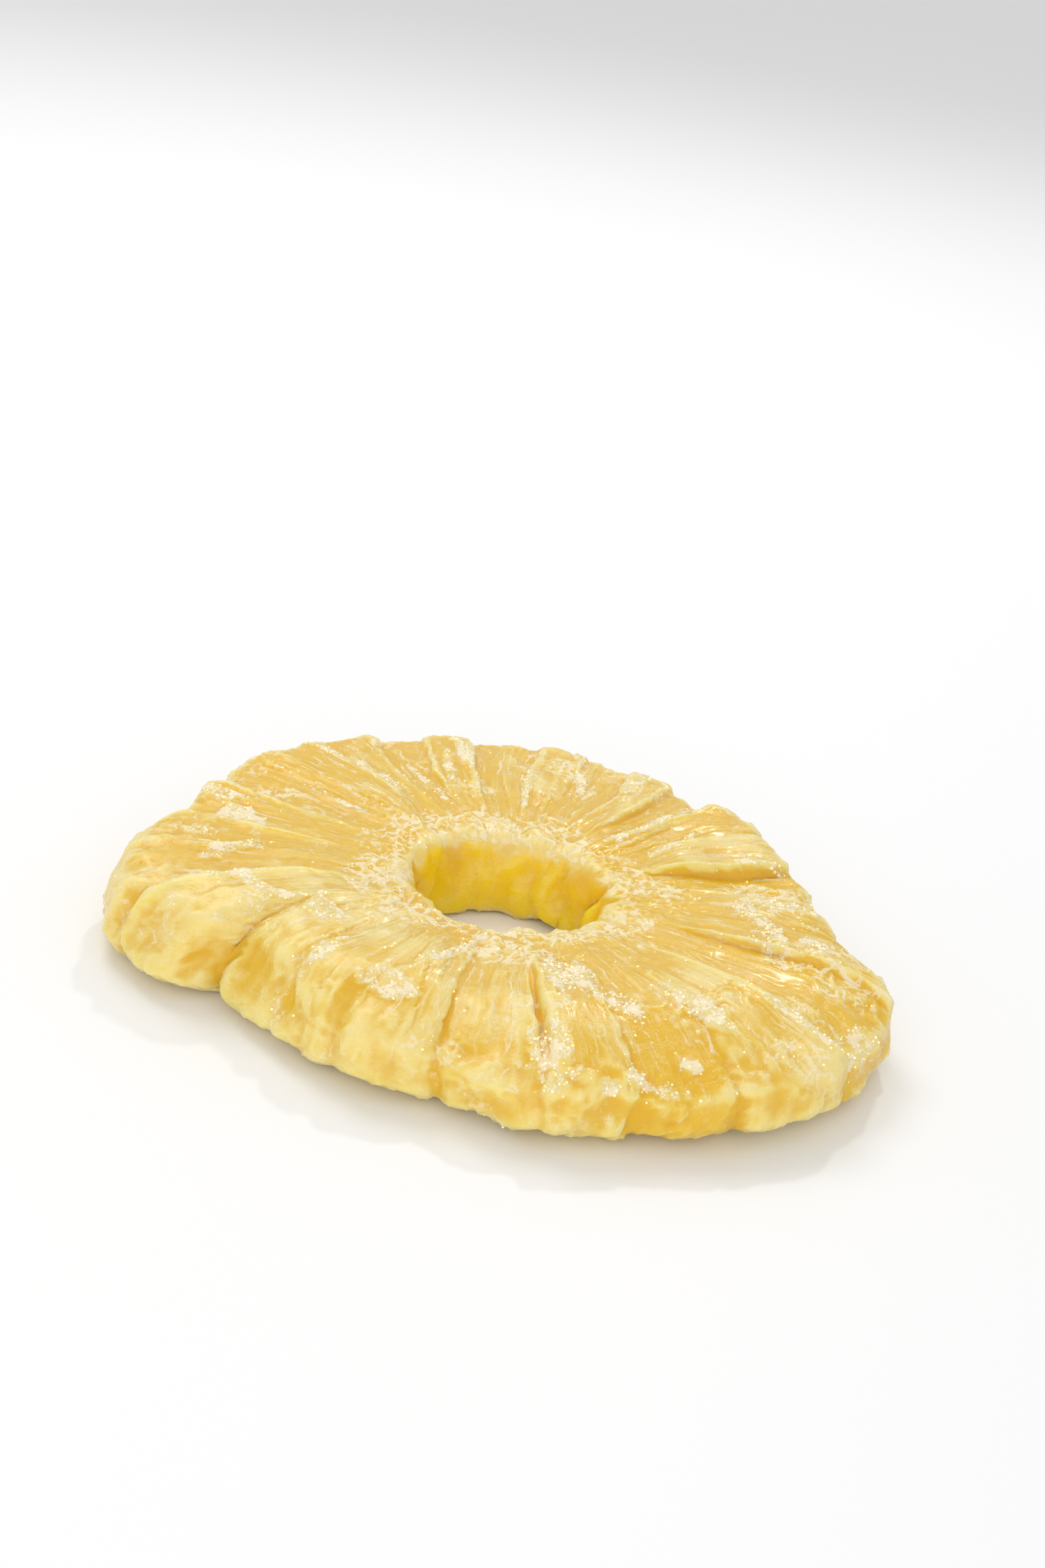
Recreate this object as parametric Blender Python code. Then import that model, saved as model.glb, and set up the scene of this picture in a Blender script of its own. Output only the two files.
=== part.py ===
"""A candied pineapple ring, lying flat with its better face up.

The ring is a slice across the fruit: wedges of fibre run out from the core hole, each a plate of its own
height and reach, so that neighbours meet in small ledges on both faces and in notches round the rim.
Lengths are in metres, angles in degrees, counterclockwise from +X. The slice rests on z = 0.
"""

import math

import bpy
import numpy as np
from mathutils import Vector, noise

MM = 0.001

# The slice as a whole
MEAN_REACH = 38.5 * MM
THICKNESS = 9.9 * MM
RIM_ROUNDNESS = 9.0              # exponent of the section's outer half: 2 is round, 8 nearly square
FOOT_ROUNDNESS = 3.2             # the same below the middle of the outer half
HOLE_ROUNDNESS = 9.0
DISH_DEPTH = 0.3 * MM            # how much lower the top lies at the hole
RIM_BULGE = 0.7 * MM             # lumps on the outer side

# The core hole, a funnel with the ends of the fibres as beads on its wall
HOLE_RADIUS = 10.5 * MM
HOLE_TAPER = 2.6 * MM            # how much narrower it is at the underside
HOLE_BEADS = 15
HOLE_BEAD_DEPTH = 1.8 * MM
HOLE_SMOOTH_AT = 100.0            # degrees, where the beads are shallowest
HOLE_UNEVEN = 0.8 * MM
HOLE_OVAL = 0.9 * MM             # how much further it reaches sideways than to the front and back

# Where wedges meet
LEDGE_WIDTH = 1.0                # degrees, so a ledge is nearly upright
LEDGE_STARTS, LEDGE_FULL = 0.12, 0.5   # share of the way from the hole to the rim
CORNER_PINCH = 0.3 * MM          # how much a wedge's corners draw in at the rim
NOTCH_WIDTH = 2.2                # degrees
WANDER = 2.6                     # degrees that a fibre strays from a straight line
SHOULDER_FALL = 0.26             # how far the top falls over a shoulder, as a share of its width
SHOULDER_BLEND = 6.0             # degrees
SWAY = 2.2                       # degrees that a notch strays on its way up the outer side
STEEP_LEAN = 6.0 * MM            # a side that leans this much has no step left between wedges at its top

# The underside
UNDER_LIFT_SHARE = 0.5           # its plates are shallower than those on top
TRAY_CUT = 0.5 * MM              # what lay lower than this was pressed flat on the tray

# The long split at the front
SPLIT_AT = 279.0
SPLIT_WIDTH = 0.8
SPLIT_DEPTH = 1.4 * MM
SPLIT_SPAN = (0.36, 0.96)

COLUMN_STEP = 3.0                # degrees between columns of the mesh inside a wedge
SECTION_STEPS = 32

FLESH_COLOUR = (0.82, 0.57, 0.08, 1.0)
FLESH_ROUGHNESS = 0.4

# One row for each wedge: first side (degrees); reach from the centre at its first and last side; height of
# its plate at both sides; notch in the rim at its first side; width of the shoulder by which its top falls
# to the rim; how far the top of its outer side leans in. All but the first are in millimetres.
WEDGES = (
    (0.0, 37.0, 35.8, 0.3, -0.1, 0.2, 5.0, 0.8),
    (11.0, 35.8, 36.5, -0.5, -0.6, 0.3, 2.5, 0.8),
    (23.0, 34.9, 36.8, 1.0, 0.6, 0.5, 3.0, 0.8),
    (37.0, 37.2, 37.6, -0.2, 0.6, 0.2, 1.5, 0.8),
    (51.0, 35.5, 36.6, -0.7, -0.3, 0.5, 1.0, 0.5),
    (60.0, 37.3, 37.3, 0.4, 0.2, 0.2, 2.0, 0.5),
    (68.0, 36.7, 37.3, -0.2, 0.0, 0.2, 2.0, 0.5),
    (79.0, 38.2, 38.6, 0.2, 0.3, 0.3, 2.0, 0.5),
    (89.5, 38.3, 38.1, -0.1, -0.3, 0.2, 2.0, 0.5),
    (103.5, 39.0, 38.6, 0.4, 0.1, 0.3, 2.5, 0.5),
    (113.5, 37.6, 37.9, -0.3, -0.3, 0.2, 2.0, 0.5),
    (121.5, 39.8, 39.3, 0.3, -0.2, 0.3, 2.5, 0.8),
    (131.5, 38.9, 39.4, 0.5, 0.1, 0.4, 2.5, 0.8),
    (147.0, 39.2, 38.0, -0.3, -0.5, 0.2, 1.0, 0.8),
    (160.0, 38.6, 38.0, 0.3, -0.5, 0.3, 1.5, 1.0),
    (174.5, 40.0, 42.7, 0.3, 0.1, 0.5, 3.0, 1.5),
    (186.0, 43.2, 44.0, 0.3, -0.4, 0.1, 5.0, 2.0),
    (201.0, 43.2, 39.4, 1.7, 1.3, 0.3, 6.0, 4.5),
    (215.0, 35.6, 35.8, 1.3, 0.7, 2.8, 6.0, 4.5),
    (232.0, 35.4, 36.2, 0.8, 1.1, 0.5, 8.0, 2.5),
    (246.5, 36.2, 35.2, 1.1, 0.0, 0.9, 10.0, 1.5),
    (262.0, 34.9, 38.1, -0.4, 0.2, 0.6, 12.0, 0.8),
    (279.0, 38.3, 39.2, 0.8, 0.2, 0.3, 12.0, 0.6),
    (294.0, 39.0, 41.2, -0.2, 0.3, 0.2, 12.0, 0.6),
    (309.5, 42.2, 44.2, 0.5, 1.0, 0.3, 11.0, 0.6),
    (325.5, 43.8, 44.4, -0.7, -0.3, 0.6, 9.0, 0.8),
    (343.0, 44.2, 37.8, 0.6, 0.3, 0.3, 7.0, 0.8),
)
STARTS = np.array([row[0] for row in WEDGES])
ENDS = np.append(STARTS[1:], 360.0)
REACHES = np.array([row[1:3] for row in WEDGES]) * MM
TOP_LIFTS = np.array([row[3:5] for row in WEDGES]) * MM
UNDER_LIFTS = TOP_LIFTS[::-1, ::-1]          # the other face is cut across the same wedges
NOTCHES = np.array([row[5] for row in WEDGES]) * MM
SHOULDERS = np.array([(row[6], row[6]) for row in WEDGES]) * MM
LEANS = np.array([(row[7], row[7]) for row in WEDGES]) * MM


def smooth(low, high, value):
    """0 below low, 1 above high, and an even S between them."""
    share = np.clip((value - low) / (high - low), 0.0, 1.0)
    return share * share * (3.0 - 2.0 * share)


def grain(*position):
    """Smooth noise, about -1 to 1, at each of many positions."""
    rows = np.broadcast_arrays(*position)
    points = np.stack([row.ravel() for row in rows], axis=1)
    return np.array([noise.noise(Vector(p)) for p in points]).reshape(rows[0].shape)


def round_the_ring(turn, count):
    """Noise positions for features that number about count round the ring, with no seam at 0 degrees."""
    angle = np.radians(turn)
    size = count / math.pi
    return np.cos(angle) * size, np.sin(angle) * size


def wedge_of(turn):
    """The wedge at each angle, and the place across it from 0 to 1."""
    index = np.searchsorted(STARTS, turn, side="right") - 1
    across = (turn - STARTS[index]) / (ENDS[index] - STARTS[index])
    return index, across


def side_distance(turn):
    """Degrees to the nearest side between two wedges, and which side that is."""
    index, _ = wedge_of(turn)
    before = turn - STARTS[index]
    after = ENDS[index] - turn
    nearest = np.where(before < after, index, (index + 1) % len(WEDGES))
    return np.minimum(before, after), nearest


def plate(turn, values, width=LEDGE_WIDTH):
    """A value that slopes across each wedge from its first to its last, and steps to the next one's."""
    index, across = wedge_of(turn)
    own = values[index, 0] + (values[index, 1] - values[index, 0]) * across
    other = np.where(across < 0.5, values[index - 1, 1], values[(index + 1) % len(WEDGES), 0])
    distance, _ = side_distance(turn)
    share = 0.5 + 0.5 * smooth(0.0, width / 2, distance)
    return own * share + other * (1.0 - share)


def notch_depth(turn):
    distance, nearest = side_distance(turn)
    return NOTCHES[nearest] * np.exp(-((distance / NOTCH_WIDTH) ** 2))


def rim_radius(turn, level):
    """How far the ring reaches: rounded wedge ends, with notches that fade up a leaning side."""
    _, across = wedge_of(turn)
    corner = CORNER_PINCH * np.abs(2.0 * across - 1.0) ** 5
    lean = plate(turn, LEANS, SHOULDER_BLEND)
    fade = np.clip(lean / STEEP_LEAN, 0.0, 1.0) * smooth(0.1, 0.7, level)
    stepped = plate(turn, REACHES) - corner - notch_depth(turn)
    return stepped + (plate(turn, REACHES, SHOULDER_BLEND) - stepped) * fade - lean * smooth(0.0, 1.0, level)


def hole_radius(turn, level):
    """The wall of the core hole, for a level from 0 at the underside to 1 at the top."""
    swing = grain(*round_the_ring(turn, 9), level * 2.5)
    beads = np.abs(np.sin(np.radians(turn) * HOLE_BEADS / 2 + 2.2 * swing))
    # they are deepest at the front and hardly show at the back
    folds = 0.08 + 0.92 * np.sin(np.radians(turn - HOLE_SMOOTH_AT) / 2) ** 2
    depth = HOLE_BEAD_DEPTH * folds * (0.8 + grain(*round_the_ring(turn, 8), level * 3.0 + 4.0))
    uneven = grain(*round_the_ring(turn, 5), level + 7.0)
    taper = HOLE_TAPER * (1.0 - level)
    oval = HOLE_OVAL * np.cos(np.radians(turn)) ** 2
    return HOLE_RADIUS + oval - taper + HOLE_UNEVEN * uneven + depth * (0.5 - beads)


def split_depth(turn, share):
    """The long split, which narrows to nothing at both ends."""
    start, end = SPLIT_SPAN
    along = np.sin(math.pi * np.clip((share - start) / (end - start), 0.0, 1.0))
    return SPLIT_DEPTH * along * np.exp(-(((turn - SPLIT_AT) / SPLIT_WIDTH) ** 2))


def shoulder_drop(turn, share):
    """How far the top has fallen towards the rim where a wedge has a sloping shoulder."""
    widths = plate(turn, SHOULDERS, SHOULDER_BLEND)
    length = MEAN_REACH - HOLE_RADIUS
    return SHOULDER_FALL * widths * smooth(1.0 - widths / length, 1.08, share)


def ledge_strength(share):
    return smooth(LEDGE_STARTS, LEDGE_FULL, share)


def top_height(turn, share):
    """Height of the upper face at a share of the way from the hole to the rim."""
    lift = plate(turn, TOP_LIFTS) * ledge_strength(share)
    groove = 0.5 * notch_depth(turn) * smooth(0.55, 1.0, share)
    dish = DISH_DEPTH * (1.0 - smooth(0.0, 0.55, share))
    lumps = 0.5 * MM * grain(*round_the_ring(turn, 12), share * 3.0)
    thick = 0.5 * MM * grain(*round_the_ring(turn, 3), 5.0)
    fall = groove + dish + split_depth(turn, share) + shoulder_drop(turn, share)
    return THICKNESS + lift + lumps + thick - fall


def under_height(turn, share):
    """Height of the lower face, with shallow plates."""
    lift = plate(turn, UNDER_LIFTS) * ledge_strength(share)
    lumps = 0.5 * MM * grain(*round_the_ring(turn, 10), share * 3.0 + 11.0)
    return TRAY_CUT + UNDER_LIFT_SHARE * lift + lumps


def section_shares(section):
    """Where a point of the section lies: from the hole to the rim, and from the underside to the top."""
    outer = np.cos(section) > 0.0
    rim = np.where(np.sin(section) > 0.0, RIM_ROUNDNESS, FOOT_ROUNDNESS)
    power = 2.0 / np.where(outer, rim, HOLE_ROUNDNESS)
    across = np.sign(np.cos(section)) * np.abs(np.cos(section)) ** power
    up = np.sign(np.sin(section)) * np.abs(np.sin(section)) ** power
    return 0.5 + 0.5 * across, 0.5 + 0.5 * up


def section_turns(count):
    """Angles round the section whose points lie evenly along it, first the outermost, then over the top."""
    fine = np.linspace(0.0, 2.0 * math.pi, 8001)
    share, level = section_shares(fine)
    across = share * (MEAN_REACH - HOLE_RADIUS)
    length = np.append(0.0, np.cumsum(np.hypot(np.diff(across), np.diff(level * THICKNESS))))
    return np.interp(np.arange(count) / count * length[-1], length, fine)


def column_turns():
    """Angles of the mesh's columns: both lips of every ledge, and even steps between them."""
    turns = []
    for start, end in zip(STARTS, ENDS):
        steps = max(3, round((end - start) / COLUMN_STEP))
        turns.extend(np.linspace(start + LEDGE_WIDTH / 2, end - LEDGE_WIDTH / 2, steps))
    return np.array(turns)


def ring_surface(turn, section):
    """Points of the ring for angles round it and round its section."""
    share, level = section_shares(section)
    bulge = RIM_BULGE * grain(*round_the_ring(turn, 26), level * 2.0) * smooth(0.75, 1.0, share)
    inner = hole_radius(turn, level)
    outer = rim_radius(turn, level) + bulge
    radius = inner + (outer - inner) * share
    low = under_height(turn, share)
    height = low + (top_height(turn, share) - low) * level
    height = np.maximum(0.0, height - TRAY_CUT)
    stray = WANDER * grain(*round_the_ring(turn, 9), share * 1.8) * smooth(0.0, 0.4, share)
    stray += SWAY * grain(*round_the_ring(turn, 7), level * 1.5 + 21.0) * smooth(0.6, 1.0, share)
    angle = np.radians(turn + stray)
    return np.stack([radius * np.cos(angle), radius * np.sin(angle), height], axis=-1)


def clear_scene():
    for obj in list(bpy.data.objects):
        bpy.data.objects.remove(obj)


def flesh_material():
    material = bpy.data.materials.new("candied_flesh")
    material.use_nodes = True
    shader = material.node_tree.nodes["Principled BSDF"]
    shader.inputs["Base Color"].default_value = FLESH_COLOUR
    shader.inputs["Roughness"].default_value = FLESH_ROUGHNESS
    shader.inputs["Metallic"].default_value = 0.0
    return material


def make_ring(collection):
    """A torus whose vertices are moved onto the ring's surface and centred on its box."""
    columns = column_turns()
    sections = section_turns(SECTION_STEPS)
    bpy.ops.mesh.primitive_torus_add(
        major_radius=(MEAN_REACH + HOLE_RADIUS) / 2,
        minor_radius=THICKNESS / 2,
        major_segments=len(columns),
        minor_segments=SECTION_STEPS,
    )
    ring = bpy.context.object
    ring.name = "ring"
    turn, section = np.meshgrid(columns, sections, indexing="ij")
    points = ring_surface(turn, section).reshape(-1, 3)
    points[:, :2] -= (points[:, :2].min(axis=0) + points[:, :2].max(axis=0)) / 2
    ring.data.vertices.foreach_set("co", points.astype(np.float32).ravel())
    ring.data.update()
    ring.data.shade_smooth()
    ring.data.materials.clear()
    ring.data.materials.append(flesh_material())
    for owner in list(ring.users_collection):
        owner.objects.unlink(ring)
    collection.objects.link(ring)
    return ring


def main():
    clear_scene()
    collection = bpy.data.collections.new("pineapple_ring")
    bpy.context.scene.collection.children.link(collection)
    make_ring(collection)


main()
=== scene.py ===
# A candied pineapple ring on a pale table, seen from above at the front.
import math

import bpy
import numpy as np
from mathutils import Matrix, Vector, noise


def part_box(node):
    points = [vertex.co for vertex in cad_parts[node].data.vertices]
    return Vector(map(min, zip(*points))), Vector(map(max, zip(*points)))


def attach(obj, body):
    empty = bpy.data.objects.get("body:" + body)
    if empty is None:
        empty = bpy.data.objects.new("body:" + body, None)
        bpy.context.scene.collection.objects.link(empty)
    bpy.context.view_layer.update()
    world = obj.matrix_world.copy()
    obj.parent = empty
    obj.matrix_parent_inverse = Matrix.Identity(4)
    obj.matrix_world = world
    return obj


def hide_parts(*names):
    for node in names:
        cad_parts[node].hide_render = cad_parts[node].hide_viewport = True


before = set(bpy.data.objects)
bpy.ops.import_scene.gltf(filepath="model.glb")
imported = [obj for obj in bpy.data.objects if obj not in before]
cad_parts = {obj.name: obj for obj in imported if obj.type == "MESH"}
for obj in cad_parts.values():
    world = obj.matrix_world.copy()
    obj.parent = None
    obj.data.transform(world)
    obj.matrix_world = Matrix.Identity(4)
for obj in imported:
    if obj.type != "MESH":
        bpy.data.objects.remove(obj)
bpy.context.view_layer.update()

mm = 0.001
ringBox = [Vector(corner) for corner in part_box("ring")]
print("Frame loaded, ring box", [round(side / mm, 1) for side in ringBox[1] - ringBox[0]], "mm")

# The ring as a whole, lengths in millimetres and angles in degrees
ringSizes = {
    "holeRadius": 10.5,
    "holeTaper": 2.6,        # how much narrower the hole is at the underside
    "meanReach": 38.5,
    "thickness": 9.9,
    "rimRoundness": 9.0,     # exponent of the section's outer half: 2 is round, 8 nearly square
    "footRoundness": 3.2,    # the same below the middle of the outer half
    "holeRoundness": 9.0,
    "dishDepth": 0.3,
    "rimBulge": 0.7,
    "holeBeads": 15,
    "beadDepth": 1.8,
    "holeUneven": 0.8,
    "holeOval": 0.9,         # how much further it reaches to the left and right than to the front and back
    "ledgeWidth": 1.0,
    "ledgeStarts": 0.12,     # share of the way from the hole to the rim
    "ledgeFull": 0.5,
    "cornerPinch": 0.3,
    "notchWidth": 2.2,
    "wander": 2.6,
    "shoulderBlend": 6.0,
    "sway": 2.2,             # how far a notch strays on its way up the outer side
    "steepLean": 6.0,        # a side that leans this much has no step left between wedges at its top
    "shoulderFall": 0.26,    # how far the top falls over a shoulder, as a share of the shoulder's width
    "underLiftShare": 0.5,
    "trayCut": 0.5,
    "splitAt": 279.0,
    "splitWidth": 0.8,
    "splitDepth": 1.4,
    "splitSpan": (0.36, 0.96),
}

# One row for each wedge: first side; reach at its first and last side; height of its plate at both sides;
# notch in the rim at its first side; how far from the rim its shoulder starts; how far its outer side
# leans in
wedges = (
    (0.0, 37.0, 35.8, 0.3, -0.1, 0.2, 5.0, 0.8),
    (11.0, 35.8, 36.5, -0.5, -0.6, 0.3, 2.5, 0.8),
    (23.0, 34.9, 36.8, 1.0, 0.6, 0.5, 3.0, 0.8),
    (37.0, 37.2, 37.6, -0.2, 0.6, 0.2, 1.5, 0.8),
    (51.0, 35.5, 36.6, -0.7, -0.3, 0.5, 1.0, 0.5),
    (60.0, 37.3, 37.3, 0.4, 0.2, 0.2, 2.0, 0.5),
    (68.0, 36.7, 37.3, -0.2, 0.0, 0.2, 2.0, 0.5),
    (79.0, 38.2, 38.6, 0.2, 0.3, 0.3, 2.0, 0.5),
    (89.5, 38.3, 38.1, -0.1, -0.3, 0.2, 2.0, 0.5),
    (103.5, 39.0, 38.6, 0.4, 0.1, 0.3, 2.5, 0.5),
    (113.5, 37.6, 37.9, -0.3, -0.3, 0.2, 2.0, 0.5),
    (121.5, 39.8, 39.3, 0.3, -0.2, 0.3, 2.5, 0.8),
    (131.5, 38.9, 39.4, 0.5, 0.1, 0.4, 2.5, 0.8),
    (147.0, 39.2, 38.0, -0.3, -0.5, 0.2, 1.0, 0.8),
    (160.0, 38.6, 38.0, 0.3, -0.5, 0.3, 1.5, 1.0),
    (174.5, 40.0, 42.7, 0.3, 0.1, 0.5, 3.0, 1.5),
    (186.0, 43.2, 44.0, 0.3, -0.4, 0.1, 5.0, 2.0),
    (201.0, 43.2, 39.4, 1.7, 1.3, 0.3, 6.0, 4.5),
    (215.0, 35.6, 35.8, 1.3, 0.7, 2.8, 6.0, 4.5),
    (232.0, 35.4, 36.2, 0.8, 1.1, 0.5, 8.0, 2.5),
    (246.5, 36.2, 35.2, 1.1, 0.0, 0.9, 10.0, 1.5),
    (262.0, 34.9, 38.1, -0.4, 0.2, 0.6, 12.0, 0.8),
    (279.0, 38.3, 39.2, 0.8, 0.2, 0.3, 12.0, 0.6),
    (294.0, 39.0, 41.2, -0.2, 0.3, 0.2, 12.0, 0.6),
    (309.5, 42.2, 44.2, 0.5, 1.0, 0.3, 11.0, 0.6),
    (325.5, 43.8, 44.4, -0.7, -0.3, 0.6, 9.0, 0.8),
    (343.0, 44.2, 37.8, 0.6, 0.3, 0.3, 7.0, 0.8),
)
starts = np.array([row[0] for row in wedges])
ends = np.append(starts[1:], 360.0)
reaches = np.array([row[1:3] for row in wedges])
topLifts = np.array([row[3:5] for row in wedges])
underLifts = topLifts[::-1, ::-1]
notches = np.array([row[5] for row in wedges])
shoulders = np.array([(row[6], row[6]) for row in wedges])
leans = np.array([(row[7], row[7]) for row in wedges])


def smooth(low, high, value):
    share = np.clip((value - low) / (high - low), 0.0, 1.0)
    return share * share * (3.0 - 2.0 * share)


def noiseAt(*position):
    rows = np.broadcast_arrays(*position)
    points = np.stack([row.ravel() for row in rows], axis=1).tolist()
    return np.array([noise.noise(point) for point in points]).reshape(rows[0].shape)


def roundTheRing(turn, count):
    angle = np.radians(turn)
    size = count / math.pi
    return np.cos(angle) * size, np.sin(angle) * size


def wedgeOf(turn):
    index = np.searchsorted(starts, turn, side="right") - 1
    across = (turn - starts[index]) / (ends[index] - starts[index])
    return index, across


def sideDistance(turn):
    index, _ = wedgeOf(turn)
    before = turn - starts[index]
    after = ends[index] - turn
    nearest = np.where(before < after, index, (index + 1) % len(wedges))
    return np.minimum(before, after), nearest


def plate(turn, values, width=ringSizes["ledgeWidth"]):
    index, across = wedgeOf(turn)
    own = values[index, 0] + (values[index, 1] - values[index, 0]) * across
    other = np.where(across < 0.5, values[index - 1, 1], values[(index + 1) % len(wedges), 0])
    distance, _ = sideDistance(turn)
    share = 0.5 + 0.5 * smooth(0.0, width / 2, distance)
    return own * share + other * (1.0 - share)


def notchDepth(turn):
    distance, nearest = sideDistance(turn)
    return notches[nearest] * np.exp(-((distance / ringSizes["notchWidth"]) ** 2))


def rimRadius(turn, level):
    _, across = wedgeOf(turn)
    corner = ringSizes["cornerPinch"] * np.abs(2.0 * across - 1.0) ** 5
    lean = plate(turn, leans, ringSizes["shoulderBlend"])
    fade = np.clip(lean / ringSizes["steepLean"], 0.0, 1.0) * smooth(0.1, 0.7, level)
    stepped = plate(turn, reaches) - corner - notchDepth(turn)
    soft = plate(turn, reaches, ringSizes["shoulderBlend"])
    return stepped + (soft - stepped) * fade - lean * smooth(0.0, 1.0, level)


def holeRadius(turn, level):
    swing = noiseAt(*roundTheRing(turn, 9), level * 2.5)
    beads = np.abs(np.sin(np.radians(turn) * ringSizes["holeBeads"] / 2 + 2.2 * swing))
    # the folds are deepest at the front and hardly show at the back
    folds = 0.08 + 0.92 * np.sin(np.radians(turn - 100.0) / 2) ** 2
    depth = ringSizes["beadDepth"] * folds * (0.8 + noiseAt(*roundTheRing(turn, 8), level * 3.0 + 4.0))
    uneven = noiseAt(*roundTheRing(turn, 5), level + 7.0)
    taper = ringSizes["holeTaper"] * (1.0 - level)
    oval = ringSizes["holeOval"] * np.cos(np.radians(turn)) ** 2
    return ringSizes["holeRadius"] + oval - taper + ringSizes["holeUneven"] * uneven + depth * (0.5 - beads)


def splitDepth(turn, share):
    start, end = ringSizes["splitSpan"]
    along = np.sin(math.pi * np.clip((share - start) / (end - start), 0.0, 1.0))
    off = (turn - ringSizes["splitAt"]) / ringSizes["splitWidth"]
    return ringSizes["splitDepth"] * along * np.exp(-(off ** 2))


def ledgeStrength(share):
    return smooth(ringSizes["ledgeStarts"], ringSizes["ledgeFull"], share)


def shoulderDrop(turn, share):
    widths = plate(turn, shoulders, ringSizes["shoulderBlend"])
    length = ringSizes["meanReach"] - ringSizes["holeRadius"]
    return ringSizes["shoulderFall"] * widths * smooth(1.0 - widths / length, 1.08, share)


def topHeight(turn, share):
    lift = plate(turn, topLifts) * ledgeStrength(share)
    groove = 0.5 * notchDepth(turn) * smooth(0.55, 1.0, share)
    dish = ringSizes["dishDepth"] * (1.0 - smooth(0.0, 0.55, share))
    lumps = 0.5 * noiseAt(*roundTheRing(turn, 12), share * 3.0)
    thick = 0.5 * noiseAt(*roundTheRing(turn, 3), 5.0)
    fall = groove + dish + splitDepth(turn, share) + shoulderDrop(turn, share)
    return ringSizes["thickness"] + lift + lumps + thick - fall


def underHeight(turn, share):
    lift = plate(turn, underLifts) * ledgeStrength(share)
    lumps = 0.5 * noiseAt(*roundTheRing(turn, 10), share * 3.0 + 11.0)
    return ringSizes["trayCut"] + ringSizes["underLiftShare"] * lift + lumps


def sectionShares(section):
    # where a point of the section lies: from the hole to the rim, and from the underside to the top
    outer = np.cos(section) > 0.0
    rim = np.where(np.sin(section) > 0.0, ringSizes["rimRoundness"], ringSizes["footRoundness"])
    power = 2.0 / np.where(outer, rim, ringSizes["holeRoundness"])
    across = np.sign(np.cos(section)) * np.abs(np.cos(section)) ** power
    up = np.sign(np.sin(section)) * np.abs(np.sin(section)) ** power
    return 0.5 + 0.5 * across, 0.5 + 0.5 * up


# Fine relief, in millimetres of height and counts round the ring
relief = {
    "columns": 720,
    "topPoints": 84,
    "rimPoints": 22,
    "underPoints": 16,
    "holePoints": 14,
    "spacingBlends": 12,     # how often the spacing of the points is evened out
    "strandCount": 96,
    "strandHeight": 0.15,
    "fibreCount": 240,
    "fibreHeight": 0.10,
    "threadFade": (12.5, 20.0),   # the curled threads near the hole thin out between these radii
    "threadSize": 1.7,
    "threadHeight": 0.26,
    "lipWidth": 0.42,
    "lipHeight": 0.14,
    "crustHeight": 0.14,
    "crumpleSize": 3.0,
    "crumpleHeight": 0.34,
    "crinkleSize": 1.5,
    "crinkleHeight": 0.24,
    "rimLobes": 24,
    "rimLobeHeight": 0.55,
    "rimFoldCount": 46,
    "rimFoldHeight": 0.14,
    "holeLumpHeight": 0.85,
    "crestStarts": 10.9,     # the highest places are eased off from here
    "crestRoom": 0.4,
    "nearSteps": (2, 2),     # points round and along that a place is measured against to find small ridges
    "farSteps": (9, 8),      # and to find what swells or sinks
}
highest = relief["crestStarts"] + relief["crestRoom"]

# How milky each wedge is, in the order of the rows above
milkiness = (0.3, 0.0, 0.7, 0.2, 0.3, 0.5, 0.2, 0.4, 0.3, 0.5, 0.2, 0.4, 0.1, 0.0,
             0.2, 0.3, 0.5, 0.8, 0.7, 0.7, 0.8, 0.6, 0.5, 0.2, 0.6, 0.1, 0.2)

# Patches of sugar crust: turn, middle as a share of the reach, half length and half width in millimetres, and
# slant in degrees
crustMarks = (
    (5.0, 0.84, 2.6, 1.2, 0.0),
    (12.0, 0.80, 3.5, 0.35, 0.0),
    (24.0, 0.86, 2.5, 0.5, -2.0),
    (38.0, 0.62, 3.0, 0.5, 6.0),
    (51.0, 0.66, 7.0, 0.7, 2.0),
    (66.0, 0.87, 2.5, 0.9, 0.0),
    (77.0, 0.78, 4.0, 0.45, 5.0),
    (89.5, 0.62, 5.0, 0.35, 1.0),
    (104.5, 0.80, 5.0, 0.7, 1.0),
    (110.0, 0.70, 3.5, 0.5, -3.0),
    (117.5, 0.62, 3.5, 0.4, 2.0),
    (131.0, 0.74, 6.0, 0.7, 6.0),
    (148.0, 0.62, 3.5, 0.4, 0.0),
    (165.0, 0.90, 2.2, 0.9, 0.0),
    (171.5, 0.80, 2.2, 1.7, 0.0),
    (182.0, 0.80, 1.5, 0.7, 0.0),
    (187.5, 0.70, 2.2, 1.4, 6.0),
    (203.0, 0.72, 2.6, 0.7, 2.0),
    (213.0, 0.70, 0.9, 3.6, 0.0),
    (222.0, 0.66, 1.2, 1.2, 0.0),
    (233.0, 0.79, 1.8, 1.0, 0.0),
    (248.5, 0.80, 1.3, 2.8, 0.0),
    (256.0, 0.57, 4.5, 0.45, -9.0),
    (281.0, 0.86, 3.6, 1.5, 0.0),
    (290.0, 0.55, 3.0, 2.4, 4.0),
    (297.0, 0.66, 2.6, 1.6, 4.0),
    (286.0, 0.93, 0.7, 0.9, 0.0),
    (289.5, 0.95, 0.6, 0.8, 0.0),
    (294.0, 0.94, 0.8, 1.0, 0.0),
    (299.0, 0.96, 0.7, 1.4, 0.0),
    (303.0, 0.90, 0.7, 0.8, 0.0),
    (311.0, 0.72, 3.5, 1.0, 3.0),
    (325.0, 0.84, 5.0, 0.45, 2.0),
    (331.0, 0.96, 1.8, 2.4, 0.0),
    (352.0, 0.68, 1.7, 4.0, 3.0),
    (349.0, 0.80, 1.2, 1.5, 0.0),
)


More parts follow.
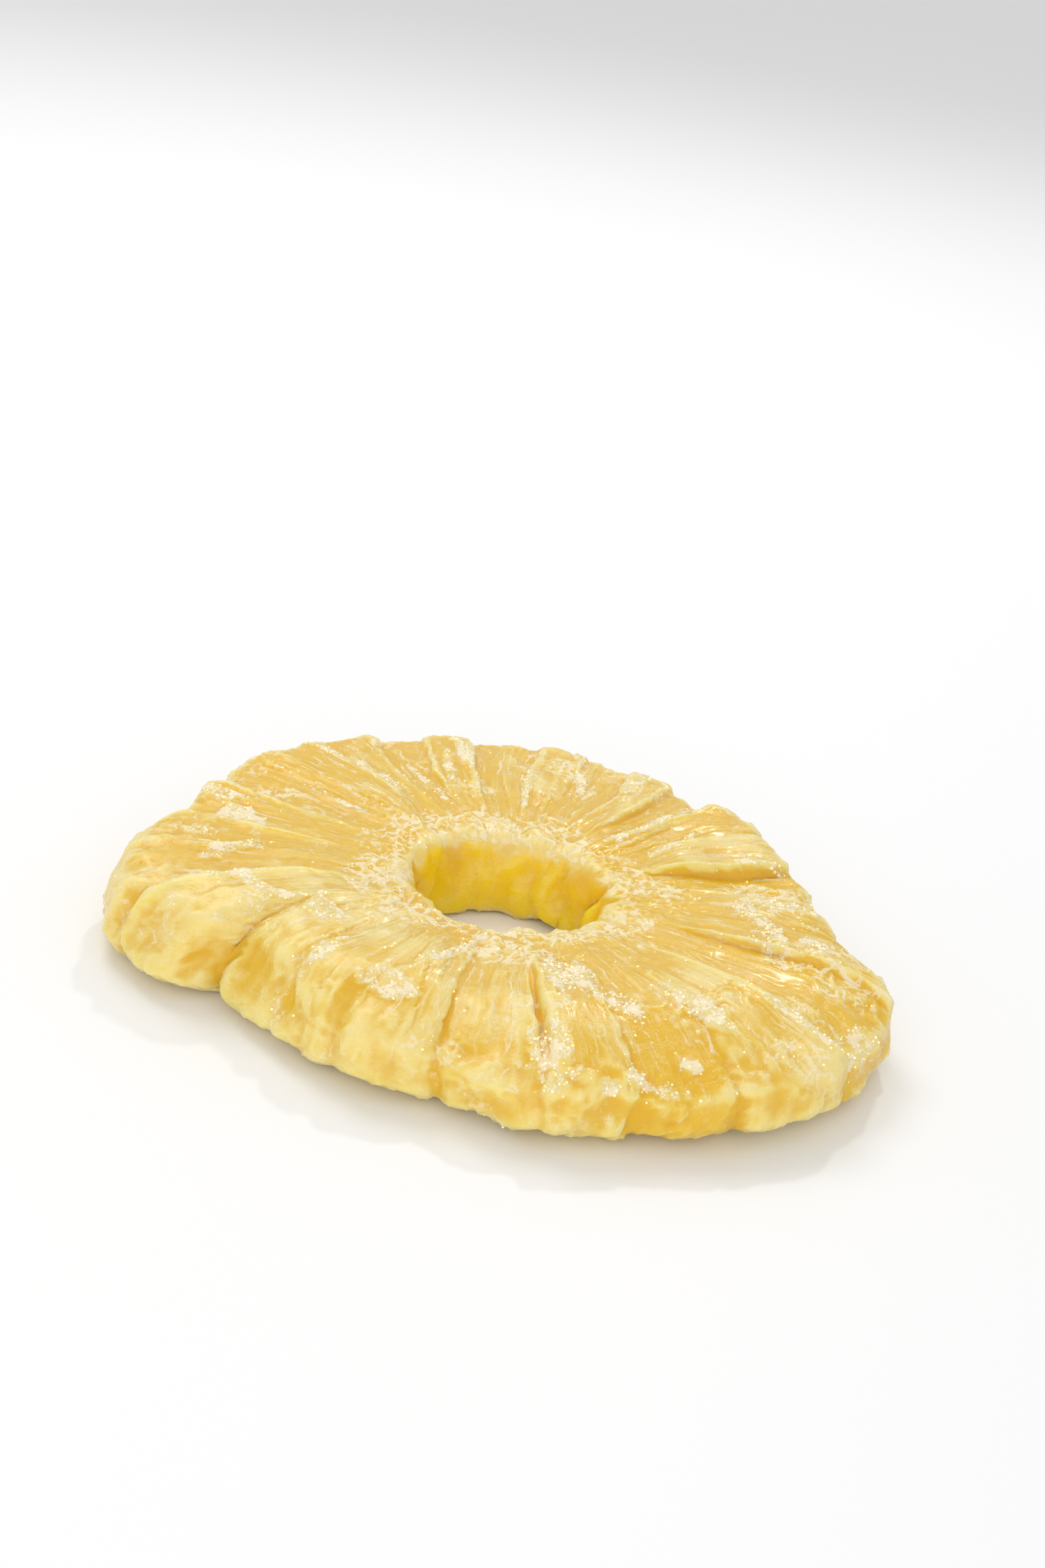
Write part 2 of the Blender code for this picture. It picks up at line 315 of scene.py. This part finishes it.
def sectionTurns():
    # the outermost point first, then over the top, down the hole and back along the underside
    fine = np.linspace(0.0, 2.0 * math.pi, 8001)
    share, level = sectionShares(fine)
    across = share * (ringSizes["meanReach"] - ringSizes["holeRadius"])
    length = np.append(0.0, np.cumsum(np.hypot(np.diff(across), np.diff(level * ringSizes["thickness"]))))
    corner = math.pi / 4
    marks = np.interp([0, corner, 3 * corner, 5 * corner, 7 * corner, 8 * corner], fine, length)
    counts = [relief["rimPoints"] // 2, relief["topPoints"], relief["holePoints"], relief["underPoints"],
              relief["rimPoints"] // 2]
    places = np.concatenate([np.linspace(low, high, count, endpoint=False)
                             for low, high, count in zip(marks[:-1], marks[1:], counts)])
    # the change of spacing at each corner is spread over its neighbours
    for _ in range(relief["spacingBlends"]):
        wide = np.concatenate([[places[-1] - length[-1]], places, [places[0] + length[-1]]])
        places = 0.25 * wide[:-2] + 0.5 * places + 0.25 * wide[2:]
    return np.interp(places, length, fine)


def baseSurface(turn, section):
    share, level = sectionShares(section)
    bulge = ringSizes["rimBulge"] * noiseAt(*roundTheRing(turn, 26), level * 2.0) * smooth(0.75, 1.0, share)
    inner = holeRadius(turn, level)
    outer = rimRadius(turn, level) + bulge
    radius = inner + (outer - inner) * share
    low = underHeight(turn, share)
    height = low + (topHeight(turn, share) - low) * level - ringSizes["trayCut"]
    stray = ringSizes["wander"] * noiseAt(*roundTheRing(turn, 9), share * 1.8) * smooth(0.0, 0.4, share)
    stray += ringSizes["sway"] * noiseAt(*roundTheRing(turn, 7), level * 1.5 + 21.0) * smooth(0.6, 1.0, share)
    stray = stray + 0.55 * noiseAt(*roundTheRing(turn, 70), share * 16.0) * smooth(0.05, 0.3, share)
    angle = np.radians(turn + stray)
    return np.stack([radius * np.cos(angle), radius * np.sin(angle), height], axis=-1), share, level


def outward(points):
    around = np.roll(points, -1, axis=0) - np.roll(points, 1, axis=0)
    along = np.roll(points, -1, axis=1) - np.roll(points, 1, axis=1)
    normal = np.cross(around, along)
    return normal / np.maximum(np.linalg.norm(normal, axis=-1, keepdims=True), 1e-9)


def blurred(values, roundSteps, alongSteps):
    for axis, steps in ((0, roundSteps), (1, alongSteps)):
        total = values.copy()
        for step in range(1, steps + 1):
            total += np.roll(values, step, axis) + np.roll(values, -step, axis)
        values = total / (2 * steps + 1)
    return values


def strands(turn, radius, count, seed):
    # each strand has a height of its own, which changes slowly along it, and an edge on either side
    drift = 1.1 * noiseAt(*roundTheRing(turn, 14), radius / 11.0 + seed)
    place = turn / 360.0 * count + drift
    cell = np.floor(place)
    inside = place - cell
    name = np.mod(cell, count)
    height = noiseAt(name * 3.71 + seed, radius / 9.0, seed)
    slope = noiseAt(name * 5.13 + seed, radius / 14.0, seed + 9.0)
    return height * 1.6 + slope * (inside - 0.5) * 1.4


def ridged(value):
    return 1.0 - np.minimum(1.0, np.abs(value) * 2.6)


def softNoise(points, size, seed=0.0):
    return noiseAt(points[..., 0] / size, points[..., 1] / size, points[..., 2] / size + seed)


def crustMask(points, turn):
    radius = np.hypot(points[..., 0], points[..., 1])
    angle = np.degrees(np.arctan2(points[..., 1], points[..., 0])) % 360.0
    reach = np.interp(angle, turn[:, 0], rimRadius(turn[:, 0], 0.0))
    mask = np.zeros_like(radius)
    for markTurn, middle, halfLength, halfWidth, slant in crustMarks:
        along = radius - middle * reach
        turnHere = markTurn + slant * along / (2 * halfLength)
        off = (angle - turnHere + 180.0) % 360.0 - 180.0
        across = np.radians(off) * radius
        distance = np.sqrt((along / halfLength) ** 2 + (across / halfWidth) ** 2)
        softness = 0.55 + 0.25 / halfWidth      # narrow patches get softer edges
        mask = np.maximum(mask, 1.0 - (distance - 1.0) / softness)
    return smooth(0.35, 0.95, mask + 0.6 * softNoise(points, 1.7) + 0.5 * softNoise(points, 0.7, 4.0))


def ledgeLips(turn, radius, share):
    # a thin lip along the higher side of each ledge
    index, across = wedgeOf(turn)
    nearFirst = across < 0.5
    own = np.where(nearFirst, topLifts[index, 0], topLifts[index, 1])
    other = np.where(nearFirst, topLifts[index - 1, 1], topLifts[(index + 1) % len(wedges), 0])
    away = np.radians(sideDistance(turn)[0]) * radius
    lip = np.exp(-(((away - 0.4) / relief["lipWidth"]) ** 2))
    return lip * smooth(0.05, 0.45, own - other) * ledgeStrength(share)


def crest(value, width):
    return np.exp(-((value / width) ** 2))


def closedGrid(name, points):
    # quads over a grid that closes on itself both ways
    count, steps = points.shape[:2]
    index = np.arange(count * steps).reshape(count, steps)
    across = np.roll(index, -1, axis=0)
    corners = [index, across, np.roll(across, -1, axis=1), np.roll(index, -1, axis=1)]
    mesh = bpy.data.meshes.new(name)
    mesh.from_pydata(points.reshape(-1, 3).tolist(), [], np.stack(corners, axis=-1).reshape(-1, 4).tolist())
    return mesh


def addObject(name, data):
    made = bpy.data.objects.new(name, data)
    bpy.context.scene.collection.objects.link(made)
    return made


def fineRelief(points, normal, turn, share, level):
    # the height to add along each normal, the marks that the materials go by, and where fine relief may stand
    radius = np.hypot(points[..., 0], points[..., 1])
    x, y, z = points[..., 0], points[..., 1], points[..., 2]
    upright = normal[..., 2]
    face = smooth(0.25, 0.85, np.abs(upright))
    nearHole = 1.0 - smooth(*relief["threadFade"], radius)
    wall = smooth(0.3, 0.8, 1.0 - face)
    rim = np.maximum(wall * smooth(0.6, 0.8, share), smooth(0.82, 0.94, share))
    holeWall = wall * (1.0 - smooth(0.2, 0.4, share))
    # the wall of the hole has few points down its height, so nothing fine is kept there
    flat = 1.0 - nearHole * (1.0 - smooth(0.7, 0.95, np.abs(upright)))

    strand = strands(turn, radius, relief["strandCount"], 2.0)
    fibre = crest(noiseAt(*roundTheRing(turn + 0.8 * strand, relief["fibreCount"]), radius / 7.0), 0.2)
    fibre = fibre * smooth(-0.15, 0.35, softNoise(points, 5.0, 20.0))
    swirlX = 1.4 * softNoise(points, 2.4, 30.0)
    swirlY = 1.4 * softNoise(points, 2.4, 60.0)
    size = relief["threadSize"]
    thread = crest(noiseAt((x + swirlX) / size, (y + swirlY) / size, z / 2.0), 0.15)
    threads = np.clip(nearHole + 0.8 * smooth(0.1, 0.5, softNoise(points, 6.0, 3.0)), 0.0, 1.0)
    lip = ledgeLips(turn, radius, share) * smooth(-0.4, 0.2, softNoise(points, 2.0, 40.0))
    crumple = softNoise(points, relief["crumpleSize"], 8.0)
    size = relief["crinkleSize"]
    crinkle = ridged(noiseAt((x + 0.5 * swirlX) / size, (y + 0.5 * swirlY) / size, z / size + 50.0)) - 0.5
    crust = crustMask(points, turn) * smooth(0.0, 0.6, upright)
    lobe = noiseAt(*roundTheRing(turn, relief["rimLobes"]), level * 1.1 + 2.0)
    foldSway = 2.0 * noiseAt(*roundTheRing(turn, 16), level * 2.5)
    fold = ridged(noiseAt(*roundTheRing(turn + foldSway, relief["rimFoldCount"]), level * 1.6))
    ridge = face * np.maximum(lip, np.maximum(thread * threads, 0.8 * fibre * (1.0 - nearHole)))
    corner = crest(np.abs(upright) - 0.75, 0.3) * np.maximum(smooth(0.65, 0.85, share), nearHole * 0.6)
    pale = plate(turn, np.stack([milkiness, milkiness], axis=1), 4.0)

    detail = face * (1.0 - 0.75 * nearHole) * relief["strandHeight"] * strand * flat
    detail += face * (1.0 - 0.6 * nearHole) * relief["fibreHeight"] * fibre * flat
    detail += face * threads * relief["threadHeight"] * thread * flat
    detail += face * relief["lipHeight"] * lip
    detail += (0.4 + 0.6 * rim) * relief["crumpleHeight"] * crumple
    detail += rim * relief["crinkleHeight"] * crinkle * smooth(-0.2, 0.2, crumple)
    detail += crust * relief["crustHeight"]
    detail += holeWall * relief["holeLumpHeight"] * noiseAt(x / 2.6, y / 2.6, z / 3.4 + 12.0)
    # the walls of the split stay plain, or they would cross
    detail *= 1.0 - 0.9 * smooth(0.05, 0.4, splitDepth(turn, share) * level)
    detail += rim * relief["rimLobeHeight"] * lobe
    detail -= rim * relief["rimFoldHeight"] * fold

    marks = {
        "crust": crust,
        "rim": rim,
        "holeWall": holeWall,
        "threads": threads * np.maximum(face, nearHole),
        "ridge": ridge * flat * smooth(0.02, 0.07, share),
        "corner": corner * (upright > 0.0),
        "pale": pale * smooth(0.1, 0.5, share),
    }
    return detail, marks, flat


def standsOut(points, normal, steps):
    # how far each point stands out of its surroundings
    return ((points - blurred(points, *steps)) * normal).sum(axis=-1)


def makeFlesh():
    columns = np.arange(relief["columns"]) * 360.0 / relief["columns"]
    turn, section = np.meshgrid(columns, sectionTurns(), indexing="ij")
    points, share, level = baseSurface(turn, section)
    normal = outward(points)
    radius = np.hypot(points[..., 0], points[..., 1])
    detail, marks, flat = fineRelief(points, normal, turn, share, level)

    points = points + normal * detail[..., None]
    points[..., 2] = np.maximum(points[..., 2], 0.0)
    over = np.maximum(points[..., 2] - relief["crestStarts"], 0.0) / relief["crestRoom"]
    eased = relief["crestStarts"] + relief["crestRoom"] * np.tanh(over)
    points[..., 2] = np.where(over > 0.0, eased, points[..., 2])
    plan = points[..., :2].reshape(-1, 2)
    middle = (plan.min(axis=0) + plan.max(axis=0)) / 2
    points[..., :2] -= middle

    normal = outward(points)
    marks["rise"] = standsOut(points, normal, relief["nearSteps"]) * flat
    marks["swell"] = standsOut(points, normal, relief["farSteps"])
    marks["corner"] = marks["corner"] * smooth(0.15, 0.9, marks["swell"])

    mesh = closedGrid("pineapple_flesh", points * mm)
    flesh = addObject("pineapple_flesh", mesh)
    for name, values in marks.items():
        layer = mesh.attributes.new(name, "FLOAT", "POINT")
        layer.data.foreach_set("value", values.astype(np.float32).ravel())
    # a place on the ring as a direction and a distance, so that streaks can run along the wedges
    direction = np.radians(turn)
    grainWise = np.stack([np.cos(direction), np.sin(direction), radius / 40.0], axis=-1)
    layer = mesh.attributes.new("grainWise", "FLOAT_VECTOR", "POINT")
    layer.data.foreach_set("vector", grainWise.astype(np.float32).ravel())
    mesh.update()
    mesh.shade_smooth()
    print("Flesh made,", 2 * len(mesh.polygons), "triangles")
    return flesh, -middle * mm


class Value:
    # wraps a socket, so that shader maths can be written as sums
    def __init__(self, shading, socket):
        self.shading = shading
        self.socket = socket

    def math(self, operation, *others):
        return self.shading.node("ShaderNodeMath", {"operation": operation}, [self, *others])

    def __add__(self, other):
        return self.math("ADD", other)

    def __radd__(self, other):
        return self.math("ADD", other)

    def __sub__(self, other):
        return self.math("SUBTRACT", other)

    def __rsub__(self, other):
        return self.shading.node("ShaderNodeMath", {"operation": "SUBTRACT"}, [other, self])

    def __mul__(self, other):
        return self.math("MULTIPLY", other)

    def __rmul__(self, other):
        return self.math("MULTIPLY", other)

    def step(self, low, high, toLow=0.0, toHigh=1.0):
        return self.shading.node("ShaderNodeMapRange", {"interpolation_type": "SMOOTHSTEP"},
                                 [self, low, high, toLow, toHigh])

    def most(self, *others):
        result = self
        for other in others:
            result = result.math("MAXIMUM", other)
        return result


class Shading:
    def __init__(self, name):
        self.material = bpy.data.materials.new(name)
        self.material.use_nodes = True
        self.tree = self.material.node_tree
        self.tree.nodes.clear()

    def node(self, kind, settings=None, inputs=(), output=0):
        made = self.tree.nodes.new(kind)
        for name, value in (settings or {}).items():
            setattr(made, name, value)
        for key, value in inputs.items() if isinstance(inputs, dict) else enumerate(inputs):
            if isinstance(value, Value):
                self.tree.links.new(value.socket, made.inputs[key])
            else:
                made.inputs[key].default_value = value
        return Value(self, made.outputs[output])

    def attribute(self, name, output="Fac"):
        return self.node("ShaderNodeAttribute", {"attribute_name": name}, output=output)

    def noise(self, where, scale, detail=2.0, roughness=0.5, output="Fac"):
        return self.node("ShaderNodeTexNoise", {}, {"Vector": where, "Scale": scale, "Detail": detail,
                                                     "Roughness": roughness}, output)

    def ridges(self, where, scale, detail=4.0, roughness=0.55, distortion=0.0):
        return self.node("ShaderNodeTexNoise", {"noise_type": "RIDGED_MULTIFRACTAL"}, {
            "Vector": where, "Scale": scale, "Detail": detail, "Roughness": roughness, "Lacunarity": 2.1,
            "Offset": 1.0, "Gain": 1.6, "Distortion": distortion})

    def colour(self, share, first, second):
        return self.node("ShaderNodeMix", {"data_type": "RGBA"}, {0: share, 6: first, 7: second}, 2)

    def stretched(self, where, scale):
        return self.node("ShaderNodeVectorMath", {"operation": "MULTIPLY"}, [where, scale])

    def pushed(self, where, way, far):
        return self.node("ShaderNodeVectorMath", {"operation": "MULTIPLY_ADD"}, [way, (far, far, far), where])

    def finish(self, surface):
        output = self.tree.nodes.new("ShaderNodeOutputMaterial")
        self.tree.links.new(surface.socket, output.inputs["Surface"])
        return self.material


fleshFinish = {
    "hollowGlow": (0.96, 0.66, 0.008, 1.0),      # painted glow: bright yellow in hollows and down the hole, for light that passes through the flesh
    "amber": (0.84, 0.52, 0.020, 1.0),
    "gold": (0.80, 0.51, 0.030, 1.0),
    "milk": (0.87, 0.68, 0.21, 1.0),       # flesh that stands out
    "frost": (0.95, 0.78, 0.43, 1.0),
    "crust": (0.98, 0.83, 0.57, 1.0),
    "ior": 1.45,
    "glow": 0.8,                           # share of the light that goes through clear flesh
    "glowDepth": 0.004,
    "glowRadius": (1.0, 0.96, 0.35),
    "coat": 0.22,
    "coatRoughness": 0.15,
    "roughness": 0.24,
    "dryGlow": 0.4,                        # the same for frost and crust
    "dryGlowDepth": 0.0008,
    "dryGlowRadius": (1.0, 0.95, 0.8),
    "dryRoughness": 0.45,
    "bumpStrength": 0.7,
    "bumpDepth": 0.0003,
    # cells per metre of each pattern
    "swirlScale": 420.0,
    "cloudScale": 130.0,
    "mottleScale": 480.0,
    "gritScale": 2600.0,
    "curlScale": 520.0,
    "speckScale": 900.0,
    # cells for each radian round the ring, and for each 40 mm out from the middle
    "streakScale": (40.0, 40.0, 4.0),
    "fibreScale": (34.0, 34.0, 3.6),
    "tongueScale": (3.2, 3.2, 0.6),
    "swirlReach": 0.0012,                  # how far the patterns are bent, in metres
    "fibreSwirl": 0.9,
}


def fleshMaterial():
    finish = fleshFinish
    s = Shading("candied flesh")
    where = s.node("ShaderNodeTexCoord", {}, output="Object")
    grainWise = s.attribute("grainWise", "Vector")
    crust, rise, swell = s.attribute("crust"), s.attribute("rise"), s.attribute("swell")
    rim, holeWall, threads = s.attribute("rim"), s.attribute("holeWall"), s.attribute("threads")
    ridge, pale, corner = s.attribute("ridge"), s.attribute("pale"), s.attribute("corner")
    level = s.node("ShaderNodeSeparateXYZ", {}, [where], output="Z") * 100.0     # in centimetres
    top = (1.0 - rim) * (1.0 - holeWall)

    swirl = s.noise(where, finish["swirlScale"], 2.0, 0.5, output="Color")
    bent = s.pushed(where, swirl, finish["swirlReach"])
    streaks = s.noise(s.stretched(grainWise, finish["streakScale"]), 1.0, 5.0, 0.65)
    streaksOnTop = top * (1.0 - threads)
    # these three go up and down from zero
    cloud = s.noise(where, finish["cloudScale"], 3.0, 0.5) - 0.5
    mottle = s.noise(bent, finish["mottleScale"], 5.0, 0.65) - 0.5
    grit = s.noise(bent, finish["gritScale"], 3.0, 0.7) - 0.5

    # clear golden flesh, amber where it lies deep and milky where it stands out; the darker amber in hollows,
    # creases and low down the hole's wall is painted shade
    tone = (0.18 + swell * 0.3 + rise * (3.0 - rim * 1.8) + cloud * 1.5 + (streaks - 0.5) * 0.7 * streaksOnTop
            + mottle * (0.9 - rim * 0.3) + pale * 0.7 + crust * 0.3 - rim * 0.05 + corner * 0.45
            + threads * 0.2 - holeWall * (0.9 - level * 1.5 - cloud * 1.5))
    colour = s.colour(tone.step(-0.3, 0.5), finish["amber"], finish["gold"])
    colour = s.colour(tone.step(0.3, 1.0), colour, finish["milk"])
    # painted glow down the hole's wall, strongest low down, for light that passes through the flesh; tongues
    # of paler flesh hang down the hole's wall
    tongues = s.noise(s.stretched(grainWise, finish["tongueScale"]), 1.0, 0.0) - 0.5
    glowDownHole = (1.2 - level * 1.1 + tongues * 1.8 + cloud * 1.4 + mottle * 0.9).step(0.2, 0.65)
    colour = s.colour(holeWall * (0.2 + glowDownHole * 0.8), colour, finish["hollowGlow"])
    # painted glow in the hollows, for light that passes through the flesh
    colour = s.colour(swell.step(-0.1, -0.9) * 0.5, colour, finish["hollowGlow"])

    # frost in thin lines: on the raised threads, in curls that lie in clusters, and along the fibres
    curls = s.ridges(bent, finish["curlScale"], 4.0, 0.6, 0.5)
    fibreWay = s.pushed(s.stretched(grainWise, finish["fibreScale"]), swirl, finish["fibreSwirl"])
    fibres = s.ridges(fibreWay, 1.0, 5.0, 0.6)
    onRidge = (ridge + corner * 0.35 + grit * 0.9 + mottle * 0.9).step(0.68, 1.05)
    clusters = (threads * 0.55 + rim * 0.2 + cloud * 2.2 + mottle * 1.4).step(0.1, 0.5)
    curled = (curls + grit * 0.5 + threads * 0.2).step(1.52, 1.8) * clusters
    fibrous = (fibres + grit * 0.5).step(1.5, 1.85) * streaks.step(0.42, 0.62) * streaksOnTop
    lines = onRidge.most(curled, fibrous)

    # crust in patches with holes, specks, and a bloom over the palest flesh
    crusted = (crust * 0.66 + mottle * 2.8 + grit * 2.2).step(0.46, 0.72) * crust.step(0.0, 0.3)
    cells = s.node("ShaderNodeTexVoronoi", {}, {"Vector": bent, "Scale": finish["speckScale"]})
    specks = (1.0 - cells.step(0.08, 0.16)) * cloud.step(-0.02, 0.1)
    bloom = cloud * 1.6 + mottle * 1.6 + grit * 1.8 + pale * 0.7 + corner * 0.6 + rise * 3.0 + threads * 0.5
    frost = (bloom.step(0.35, 1.5) * 0.4).most(lines * 0.9, crusted * 0.95, specks * 0.7)
    frost = frost * (1.0 - holeWall * 0.9) * (1.0 - rim * (0.25 - corner * 0.25))
    frostColour = s.colour(crusted.most(lines * 0.6), finish["frost"], finish["crust"])

    height = ((mottle + 0.5) * (1.0 + rim * 0.7) + streaks * 0.35 * streaksOnTop + lines * 0.12
              + crusted * 0.2 + (grit + 0.5) * (0.26 + frost * 0.08))
    bump = s.node("ShaderNodeBump", {}, {"Strength": finish["bumpStrength"], "Distance": finish["bumpDepth"],
                                         "Height": height})
    clear = s.node("ShaderNodeBsdfPrincipled", {"subsurface_method": "RANDOM_WALK"}, {
        "Base Color": colour, "Roughness": finish["roughness"] + mottle * 0.3, "Normal": bump,
        "IOR": finish["ior"], "Subsurface Weight": finish["glow"], "Subsurface Radius": finish["glowRadius"],
        "Subsurface Scale": finish["glowDepth"], "Coat Weight": finish["coat"],
        "Coat Roughness": finish["coatRoughness"],
    })
    dry = s.node("ShaderNodeBsdfPrincipled", {"subsurface_method": "RANDOM_WALK"}, {
        "Base Color": frostColour, "Roughness": finish["dryRoughness"] + grit * 0.4, "Normal": bump,
        "IOR": finish["ior"], "Subsurface Weight": finish["dryGlow"],
        "Subsurface Radius": finish["dryGlowRadius"], "Subsurface Scale": finish["dryGlowDepth"],
    })
    return s.finish(s.node("ShaderNodeMixShader", {}, [frost, clear, dry]))


# What the scatter takes, by the names of its inputs
scatter = {
    "Grain Size": 0.00018,
    "Smallest": 0.3,
    "Largest": 0.9,
    "Share on Ridges": 0.2,
    "Grains per Square Metre": 1.75e6,
    "Seed": 7,
}

sugarFinish = {
    "dull": (0.97, 0.83, 0.50, 1.0),
    "bright": (0.98, 0.90, 0.68, 1.0),
    "tintScale": 300.0,
    "roughness": 0.25,
    "ior": 1.5,
    "paintedGlow": 0.3,        # painted glow: the grains give off light of their own, so they look brighter than the flesh round them
}


def sugarMaterial():
    s = Shading("sugar grains")
    where = s.node("ShaderNodeTexCoord", {}, output="Object")
    tint = s.noise(where, sugarFinish["tintScale"])
    colour = s.colour(tint, sugarFinish["dull"], sugarFinish["bright"])
    # the emission is painted light that brightens the grains
    return s.finish(s.node("ShaderNodeBsdfPrincipled", {}, {
        "Base Color": colour, "Roughness": sugarFinish["roughness"], "IOR": sugarFinish["ior"],
        "Emission Color": colour, "Emission Strength": sugarFinish["paintedGlow"],
    }))


def grainTree(material):
    tree = bpy.data.node_groups.new("scattered sugar", "GeometryNodeTree")
    tree.interface.new_socket("Geometry", in_out="INPUT", socket_type="NodeSocketGeometry")
    for name, value in scatter.items():
        kind = "NodeSocketInt" if isinstance(value, int) else "NodeSocketFloat"
        tree.interface.new_socket(name, in_out="INPUT", socket_type=kind)
    tree.interface.new_socket("Geometry", in_out="OUTPUT", socket_type="NodeSocketGeometry")

    def node(kind, settings=None, inputs=(), output=0):
        made = tree.nodes.new(kind)
        for name, value in (settings or {}).items():
            setattr(made, name, value)
        for key, value in inputs.items() if isinstance(inputs, dict) else enumerate(inputs):
            if isinstance(value, bpy.types.NodeSocket):
                tree.links.new(value, made.inputs[key])
            else:
                made.inputs[key].default_value = value
        return made.outputs[output]

    def math(operation, first, second):
        return node("ShaderNodeMath", {"operation": operation}, [first, second])

    given = tree.nodes.new("NodeGroupInput").outputs
    crust = node("GeometryNodeInputNamedAttribute", {"data_type": "FLOAT"}, {"Name": "crust"})
    ridge = node("GeometryNodeInputNamedAttribute", {"data_type": "FLOAT"}, {"Name": "ridge"})
    likely = math("MAXIMUM", crust, math("MULTIPLY", ridge, given["Share on Ridges"]))
    density = math("MULTIPLY", likely, given["Grains per Square Metre"])
    places = node("GeometryNodeDistributePointsOnFaces", {"distribute_method": "RANDOM"},
                  {"Mesh": given["Geometry"], "Density": density, "Seed": given["Seed"]})
    crystal = node("GeometryNodeMeshIcoSphere", {}, {"Radius": given["Grain Size"], "Subdivisions": 1})
    size = node("FunctionNodeRandomValue", {"data_type": "FLOAT"},
                {2: given["Smallest"], 3: given["Largest"], "Seed": given["Seed"]}, 1)
    turn = node("FunctionNodeRandomValue", {"data_type": "FLOAT_VECTOR"},
                {0: (0.0, 0.0, 0.0), 1: (6.28, 6.28, 6.28), "Seed": given["Seed"]}, 0)
    placed = node("GeometryNodeInstanceOnPoints", {}, {"Points": places, "Instance": crystal,
                                                       "Rotation": turn, "Scale": size})
    real = node("GeometryNodeRealizeInstances", {}, [placed])
    coloured = node("GeometryNodeSetMaterial", {}, {"Geometry": real, "Material": material})
    tree.links.new(coloured, tree.nodes.new("NodeGroupOutput").inputs[0])
    return tree


def makeGrains(flesh):
    material = sugarMaterial()
    holder = addObject("sugar_holder", flesh.data.copy())
    modifier = holder.modifiers.new("scattered sugar", "NODES")
    modifier.node_group = grainTree(material)
    for item in modifier.node_group.interface.items_tree:
        if item.in_out == "INPUT" and item.name in scatter:
            modifier[item.identifier] = scatter[item.name]
    graph = bpy.context.evaluated_depsgraph_get()
    mesh = bpy.data.meshes.new_from_object(holder.evaluated_get(graph))
    bpy.data.objects.remove(holder)
    sugar = addObject("sugar_grains", mesh)
    spare = [layer.name for layer in mesh.attributes if layer.domain == "POINT" and layer.name != "position"]
    for name in spare:
        mesh.attributes.remove(mesh.attributes[name])
    # no grain sticks out above the flesh's highest places or under the table
    spots = np.zeros(len(mesh.vertices) * 3, np.float32)
    mesh.vertices.foreach_get("co", spots)
    spots[2::3] = np.clip(spots[2::3], 0.0, highest * mm)
    mesh.vertices.foreach_set("co", spots)
    mesh.update()
    mesh.materials.clear()
    mesh.materials.append(material)
    print("Sugar made,", len(mesh.polygons), "faces")
    return sugar


flesh, holeCentre = makeFlesh()
flesh.data.materials.clear()
flesh.data.materials.append(fleshMaterial())
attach(flesh, "root")
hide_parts("ring")

sugar = makeGrains(flesh)
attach(sugar, "root")
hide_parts("ring")

table = {
    "halfSide": 6.0,
    "dull": (0.94, 0.94, 0.94, 1.0),
    "bright": (0.95, 0.95, 0.95, 1.0),
    "cloudScale": 6.0,
    "roughness": 0.55,
}


def makeTable():
    bpy.ops.mesh.primitive_plane_add(size=2 * table["halfSide"])
    floor = bpy.context.object
    floor.name = "table_top"
    s = Shading("pale table")
    where = s.node("ShaderNodeTexCoord", {}, output="Object")
    colour = s.colour(s.noise(where, table["cloudScale"], 3.0), table["dull"], table["bright"])
    skin = s.node("ShaderNodeBsdfPrincipled", {}, {"Base Color": colour, "Roughness": table["roughness"]})
    floor.data.materials.append(s.finish(skin))
    print("Table made")


studio = {
    "skyStrength": 0.70,
    "skyColour": (1.0, 1.0, 1.0, 1.0),
    # the lamps' places in metres, their diameters and their powers in watts
    "lamps": {
        "window": ((-0.25, 0.35, 0.55), 0.35, 1.1),
        "fill": ((-0.05, -0.55, 0.20), 0.6, 1.1),
        "glint lamp": ((0.1, 0.5, 0.5), 0.05, 0.6),
    },
}


def makeLight():
    world = bpy.data.worlds.new("soft studio")
    world.use_nodes = True
    backdrop = world.node_tree.nodes["Background"]
    backdrop.inputs["Color"].default_value = studio["skyColour"]
    backdrop.inputs["Strength"].default_value = studio["skyStrength"]
    bpy.context.scene.world = world
    for name, (place, size, power) in studio["lamps"].items():
        light = bpy.data.lights.new(name, "AREA")
        light.shape = "DISK"
        light.size = size
        light.energy = power
        lamp = addObject(name, light)
        lamp.location = place
        lamp.rotation_euler = (-Vector(place)).to_track_quat("-Z", "Y").to_euler()     # aimed at the ring
    print("Light made")


view = {
    "elevation": 27.0,
    "roll": -9.0,
    "distance": 0.2344,
    "aimHeight": 0.0085,
    "lens": 49.9,
    "sensorWidth": 36.0,
    "shift": (0.0084, 0.0636),
    "clip": (0.01, 50.0),
}


def makeCamera(centre):
    # looks at the middle of the hole from the front, turned a little about its own line of sight
    tilt, roll = math.radians(view["elevation"]), math.radians(view["roll"])
    side = Vector((1, 0, 0))
    up = Vector((0, math.sin(tilt), math.cos(tilt)))
    back = Vector((0, -math.cos(tilt), math.sin(tilt)))
    right = math.cos(roll) * side - math.sin(roll) * up
    top = math.sin(roll) * side + math.cos(roll) * up
    turned = Matrix((right, top, back)).transposed().to_4x4()
    data = bpy.data.cameras.new("camera")
    data.lens = view["lens"]
    data.sensor_width = view["sensorWidth"]
    data.shift_x, data.shift_y = view["shift"]
    data.clip_start, data.clip_end = view["clip"]
    camera = addObject("camera", data)
    aim = Vector((*centre, view["aimHeight"]))
    camera.matrix_world = Matrix.Translation(aim + back * view["distance"]) @ turned
    bpy.context.scene.camera = camera
    print("Camera made")


makeTable()
makeLight()
makeCamera(holeCentre)
bpy.context.scene.view_settings.view_transform = "Standard"

bpy.context.view_layer.update()
